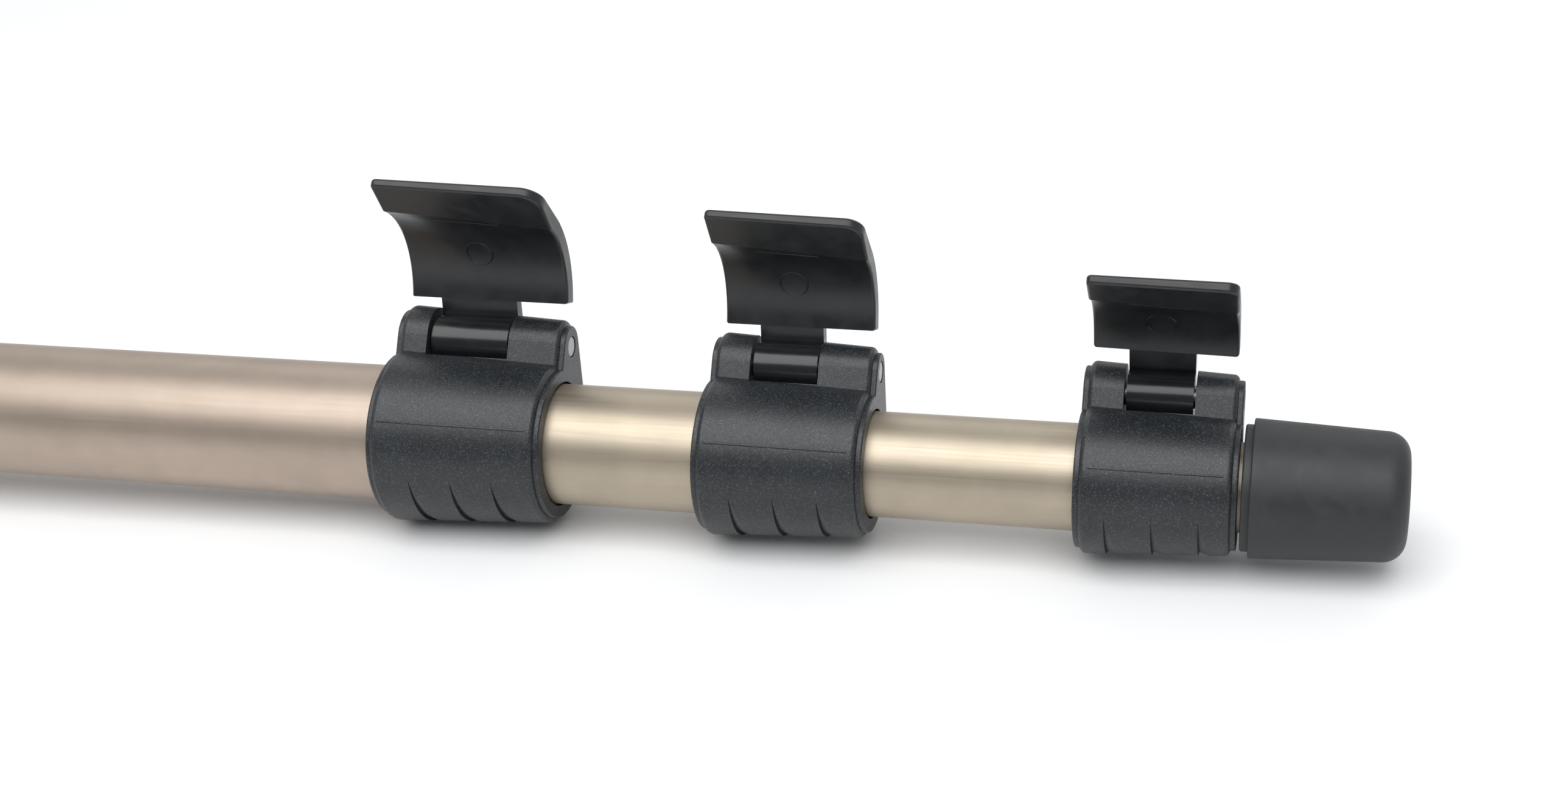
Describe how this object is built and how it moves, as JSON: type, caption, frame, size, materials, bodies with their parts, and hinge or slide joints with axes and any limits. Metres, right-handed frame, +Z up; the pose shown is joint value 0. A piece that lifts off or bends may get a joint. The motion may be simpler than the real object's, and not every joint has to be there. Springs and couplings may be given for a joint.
{
  "type": "telescoping boom pole",
  "caption": "Telescoping round-tube pole with flip-lever tube locks, a threaded stud head with foam grip at the thick end and a rubber foot at the thin end.",
  "frame": {"origin": "on the pole's axis, in the plane where the stud leaves the head pad", "axes": "+X along the pole from head to foot, +Z up, -Y the side that the levers open towards"},
  "size_m": [0.5815, 0.043, 0.0742],
  "materials": {
    "tube": "champagne anodised, satin",
    "collar": "sparkle-textured black nylon",
    "lever": "satin black nylon",
    "steel": "ground steel",
    "bush": "dark brown nylon",
    "foot_rubber": "matt moulded rubber",
    "pad_rubber": "ribbed rubber",
    "head_metal": "black anodised",
    "stud": "zinc-plated",
    "foam": "closed-cell foam",
    "ring": "moulded black"
  },
  "bodies": {
    "pole_1": {"tube_1": "tube", "collar_1": "collar", "hinge_pin_1": "steel", "guide_bush_1": "bush", "head_cap": "head_metal", "head_screws": "steel", "head_pad": "pad_rubber", "mount_stud": "stud", "foam_grip": "foam", "grip_ring": "ring"},
    "pole_2": {"tube_2": "tube", "collar_2": "collar", "hinge_pin_2": "steel", "guide_bush_2": "bush", "stop_bush_2": "bush"},
    "pole_3": {"tube_3": "tube", "collar_3": "collar", "hinge_pin_3": "steel", "guide_bush_3": "bush", "stop_bush_3": "bush"},
    "pole_4": {"tube_4": "tube", "stop_bush_4": "bush", "rubber_foot": "foot_rubber", "foot_plug": "bush"},
    "lever_1": {"lever_1": "lever"},
    "brake_shoe_1": {"brake_shoe_1": "bush"},
    "lever_2": {"lever_2": "lever"},
    "brake_shoe_2": {"brake_shoe_2": "bush"},
    "lever_3": {"lever_3": "lever"},
    "brake_shoe_3": {"brake_shoe_3": "bush"}
  },
  "joints": [
    {"name": "tube_2_slide", "type": "slide", "parent": "pole_1", "child": "pole_2", "axis": [1, 0, 0], "range_m": [-0.0295, 0.301]},
    {"name": "tube_3_slide", "type": "slide", "parent": "pole_2", "child": "pole_3", "axis": [1, 0, 0], "range_m": [-0.0382, 0.327]},
    {"name": "tube_4_slide", "type": "slide", "parent": "pole_3", "child": "pole_4", "axis": [1, 0, 0], "range_m": [0, 0.395]},
    {"name": "lever_1_flip", "type": "hinge", "parent": "pole_1", "child": "lever_1", "pos_m": [0.39275, 0.0112, 0.01559], "axis": [1, 0, 0], "range_deg": [-7, 103]},
    {"name": "lever_2_flip", "type": "hinge", "parent": "pole_2", "child": "lever_2", "pos_m": [0.4561, 0.01021, 0.01421], "axis": [1, 0, 0], "range_deg": [-5, 105]},
    {"name": "lever_3_flip", "type": "hinge", "parent": "pole_3", "child": "lever_3", "pos_m": [0.5254, 0.00934, 0.01299], "axis": [1, 0, 0], "range_deg": [-19, 91]},
    {"name": "brake_shoe_1_press", "type": "slide", "parent": "pole_1", "child": "brake_shoe_1", "axis": [0, -0.5835, -0.8121], "range_m": [-0.0001, 0.00031]},
    {"name": "brake_shoe_2_press", "type": "slide", "parent": "pole_2", "child": "brake_shoe_2", "axis": [0, -0.5835, -0.8121], "range_m": [-0.0001, 0.00031]},
    {"name": "brake_shoe_3_press", "type": "slide", "parent": "pole_3", "child": "brake_shoe_3", "axis": [0, -0.5835, -0.8121], "range_m": [-0.0001, 0.00031]}
  ],
  "couplings": [
    {"joint": "brake_shoe_1_press", "follows": "lever_1_flip", "m_per_rad": 0.00016688},
    {"joint": "brake_shoe_2_press", "follows": "lever_2_flip", "m_per_rad": 0.0001637},
    {"joint": "brake_shoe_3_press", "follows": "lever_3_flip", "m_per_rad": 0.00018889}
  ]
}
